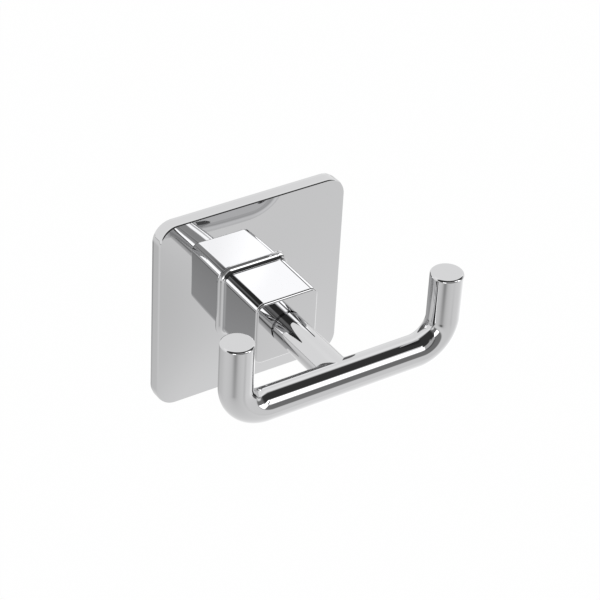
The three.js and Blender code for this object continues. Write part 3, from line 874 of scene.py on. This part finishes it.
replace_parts(threaded_screw("threaded_screw_left", -SCREW_X), "wall_screw_left")
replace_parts(threaded_screw("threaded_screw_right", SCREW_X), "wall_screw_right")

# %% [markdown]
# ## Bare steel
#
# Two finishes are left, and nobody sees them once the hook hangs. The spigot is cut from drawn steel bar,
# with fine lines along its length. An anisotropic gloss would hint at them, but a noise that is stretched
# along the bar draws each one.

# %% Bare steel
STEEL_DARK = (0.36, 0.37, 0.38, 1)
STEEL_PALE = (0.52, 0.52, 0.52, 1)
STEEL_SMOOTH = 0.26
STEEL_DRAWN = 0.25
LINE_SHARE = 0.5

bare_steel, shader, sheet, place = new_finish("bare_steel", {"Metallic": 1.0})
along_bar = sheet.node("Mapping", None, {"Vector": place, "Scale": (2500.0, 120.0, 2500.0)})
drawing = sheet.node("TexNoise", None, {"Vector": along_bar, "Scale": 1.0, "Detail": 3.0})
stain = sheet.node("TexNoise", None, {"Vector": place, "Scale": 300.0, "Detail": 3.0})
streaks = drawing * LINE_SHARE + stain * (1 - LINE_SHARE)
wire(sheet, shader, colour=streaks.tint(STEEL_DARK, STEEL_PALE),
     roughness=STEEL_SMOOTH + drawing * STEEL_DRAWN,
     relief=drawing.relief(strength=0.4, depth=0.03 * MM))
print("bare steel: roughness", STEEL_SMOOTH, "to", STEEL_SMOOTH + STEEL_DRAWN)

# %% [markdown]
# ## Black oxide
#
# The grub screw and the clamping screw come black from a hot salt bath and a little oily, so their gloss
# changes from place to place. One noise moves both colour and gloss, because oil deepens a black where it
# shines, and a very fine one roughens the skin.

# %% Black oxide
OXIDE_BLUE = (0.022, 0.022, 0.026, 1)
OXIDE_BROWN = (0.045, 0.043, 0.042, 1)
OXIDE_SMOOTH = 0.3
OXIDE_DRY = 0.2
OIL_RISE = (0.35, 0.65)

black_oxide, shader, sheet, place = new_finish("black_oxide", {"Metallic": 0.6})
oil = sheet.node("TexNoise", None, {"Vector": place, "Scale": 500.0, "Detail": 3.0})
etch = sheet.node("TexNoise", None, {"Vector": place, "Scale": 5000.0, "Detail": 2.0})
wire(sheet, shader, colour=oil.tint(OXIDE_BLUE, OXIDE_BROWN),
     roughness=OXIDE_SMOOTH + oil.rising(*OIL_RISE) * OXIDE_DRY,
     relief=etch.relief(strength=0.25, depth=0.02 * MM))
print("black oxide: roughness", OXIDE_SMOOTH, "to", OXIDE_SMOOTH + OXIDE_DRY)

# %% [markdown]
# The CAD parts that stay as they are, and also those that a finer piece stands for, get the finish that the
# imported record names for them.

# %% Finishes of the CAD parts
FINISHES = {"chrome": mirror_chrome, "zinc_plated_steel": zinc_plate, "bare_steel": bare_steel,
            "black_steel": black_oxide}
for part in frame["record"]["subparts"]:
    for slot in frame["nodes"][part["node"]].material_slots:
        slot.material = FINISHES[part["material_slot"]]
    print(part["node"], "in", part["material_slot"])

# %% [markdown]
# ## Floor
#
# The ground is a plain white sweep. To the camera it glows at strength 1, which is white, with a share of
# real matt white mixed in that keeps the hook's soft shadow. The hook mirrors the same ground, but a
# photographer's table is never lit evenly: it is brightest to the right of the hook, falls off towards the
# front left and the back, and ends in the gloom of the room in front and at the sides. A painted picture
# could hold that fall-off, but a few round patches on the floor's own coordinates are easier to move. They
# show to mirrored rays only, and each has a centre, a radius and a change of level.

# %% Floor
FLOOR_HEIGHT = -0.5
FLOOR_HALF = 3.7
FLOOR_GLOW = 0.93
FLOOR_TONE = 0.92
FLOOR_END = 0.3
FADE_START = 2.0
FADE_END = 3.6
MATT_WHITE = (0.95, 0.95, 0.95, 1)
PATCHES = {"right of the hook": ((0.5, 0.17), 0.38, 0.62), "front left": ((-0.5, -0.65), 0.5, -0.19),
           "small front left": ((-0.6, -0.72), 0.2, -0.72), "back left": ((-0.5, 0.7), 0.4, -0.2),
           "back": ((0.2, 0.72), 0.25, -0.65), "further back": ((-0.13, 0.82), 0.2, -0.4),
           "bright front": ((0.36, -0.44), 0.13, 0.1), "dim front": ((0.27, -0.66), 0.1, -0.14)}


def patch(sheet, x, y, centre, radius, change):
    """A round patch on the floor that fades outwards like a bell curve."""
    away_x, away_y = x - centre[0], y - centre[1]
    distance = (away_x * away_x + away_y * away_y) / (radius * radius)
    return sheet.math("EXPONENT", 0 - distance) * change


def axes_of(sheet, vector):
    """The three parts of a vector as signals."""
    parts = sheet.node("SeparateXYZ", None, {"Vector": vector}).socket.node
    return [Signal(sheet.tree, parts.outputs[axis]) for axis in "XYZ"]


def ray_kinds(sheet, *names):
    """Signals that are 1 for rays of the kinds named."""
    path = sheet.node("LightPath").socket.node
    return [Signal(sheet.tree, path.outputs[name]) for name in names]


bm = bmesh.new()
bmesh.ops.create_grid(bm, x_segments=1, y_segments=1, size=FLOOR_HALF,
                      matrix=Matrix.Translation((0, 0, FLOOR_HEIGHT)))
floor_mesh = bpy.data.meshes.new("floor")
bm.to_mesh(floor_mesh)
bm.free()
floor = bpy.data.objects.new("floor", floor_mesh)
bpy.context.scene.collection.objects.link(floor)

white_sweep = bpy.data.materials.new("white_sweep")
white_sweep.use_nodes = True
white_sweep.node_tree.nodes.clear()
sheet = Signal(white_sweep.node_tree)
x, y, _ = axes_of(sheet, sheet.node("TexCoord", output="Object"))
seen, mirrored = ray_kinds(sheet, "Is Camera Ray", "Is Glossy Ray")
tone = FLOOR_TONE
for spot in PATCHES.values():
    tone = tone + patch(sheet, x, y, *spot)
lit = y.rising(-FADE_END, -FADE_START) * (1 - x.magnitude().rising(FADE_START, FADE_END))
tone = lit * (tone - FLOOR_END) + FLOOR_END
glow = sheet.node("Emission", None, {"Color": mirrored * (tone - 1) + 1})
matt = sheet.node("BsdfDiffuse", None, {"Color": MATT_WHITE})
both = sheet.node("MixShader", None, {0: (seen + mirrored) * FLOOR_GLOW, 1: matt, 2: glow})
sheet.node("OutputMaterial", None, {"Surface": both})
floor_mesh.materials.append(white_sweep)
print("floor", -FLOOR_HEIGHT, "m below the hook")

# %% [markdown]
# ## Studio
#
# A mirror needs something dark to look like metal. Behind the hook, and at its far left and right, the room
# has white walls. Above the camera hangs a dark ceiling, and in it glow lamps with white boxes. One hangs
# high on the right, with a lower one at its left, and from there the light fades over two grey sheets. At
# its right a dark gap, with some spilled light above, parts it from the next lamp and draws the fine line
# along the post's edge. Two more hang low at the sides. A dim board high on the left gives the faint streaks
# in the dark of the post and the stem.
#
# Lamps and walls as meshes would light the hook as well as show in it. So all of this is painted on the sky
# by direction: `tilt` is the angle from straight up towards the front, and `across` and `up` are places on
# an upright sheet in front of the hook, so that a lamp box is simply a rectangle. Each is written as left,
# right and softness, then bottom, top and softness, then its level. Only mirrored rays see the room. The
# camera sees white, and everything else is lit by an even white sky at strength 1.

# %% Studio
WALL_LEVEL = 1.1
WALL_TOP_GAIN = 0.12
WALL_TOP_TILT = (-40, -20, 4)
CEILING_TILT = (-24, -11)
SIDE_WALLS = (0.96, 0.995)
FRONT_HEIGHT = (0.2, 0.45)
AHEAD = (0.1, 0.2)
CEILING_LEVEL = 0.05
FRONT_LEVEL = 0.24
LAMP_LEVEL = 2.6
BOARD_LEVEL = 0.22
SHEET_LEVEL = 0.55
SPILL_LEVEL = 1.3
LAMPS = {"high right": ((0.62, 0.85, 0.06), (0.46, 1.37, 0.18), LAMP_LEVEL),
         "beside it": ((0.4, 0.62, 0.08), (0.46, 0.93, 0.12), LAMP_LEVEL),
         "above the gap": ((0.85, 1.06, 0.05), (1.1, 1.42, 0.2), SPILL_LEVEL),
         "middle sheet": ((-0.45, 0.4, 0.08), (0.45, 0.97, 0.06), SHEET_LEVEL),
         "left sheet": ((-0.85, -0.45, 0.06), (0.4, 0.72, 0.06), SHEET_LEVEL),
         "far right": ((1.02, 1.4, 0.04), (0.46, 1.37, 0.18), LAMP_LEVEL),
         "low left": ((-1.6, -0.78, 0.06), (-0.28, 0.49, 0.06), LAMP_LEVEL),
         "low right": ((0.85, 1.6, 0.06), (-0.28, 0.45, 0.06), LAMP_LEVEL),
         "dim board": ((-0.72, -0.38, 0.08), (0.7, 1.15, 0.1), BOARD_LEVEL)}

world = bpy.data.worlds.new("studio")
bpy.context.scene.world = world
world.use_nodes = True
world.node_tree.nodes.clear()
sheet = Signal(world.node_tree)
x, y, z = axes_of(sheet, sheet.node("TexCoord", output="Generated"))
forward = 0 - y
tilt = sheet.math("ARCTAN2", forward, z) * math.degrees(1)
across, up = x / forward, z / forward
dark = tilt.rising(*CEILING_TILT) * (1 - x.magnitude().rising(*SIDE_WALLS))
wall = WALL_LEVEL + tilt.between(*WALL_TOP_TILT) * WALL_TOP_GAIN
gloom = CEILING_LEVEL + (1 - z.rising(*FRONT_HEIGHT)) * (FRONT_LEVEL - CEILING_LEVEL)
level = dark * (gloom - wall) + wall
in_front = forward.rising(*AHEAD)
for width, height, strength in LAMPS.values():
    box = across.between(*width) * up.between(*height)
    level = level + box * in_front * strength
[mirrored] = ray_kinds(sheet, "Is Glossy Ray")
sky = sheet.node("Background", None, {"Color": (1, 1, 1, 1), "Strength": mirrored * (level - 1) + 1})
sheet.node("OutputWorld", None, {"Surface": sky})
print("studio with", len(LAMPS), "lamps and boards")
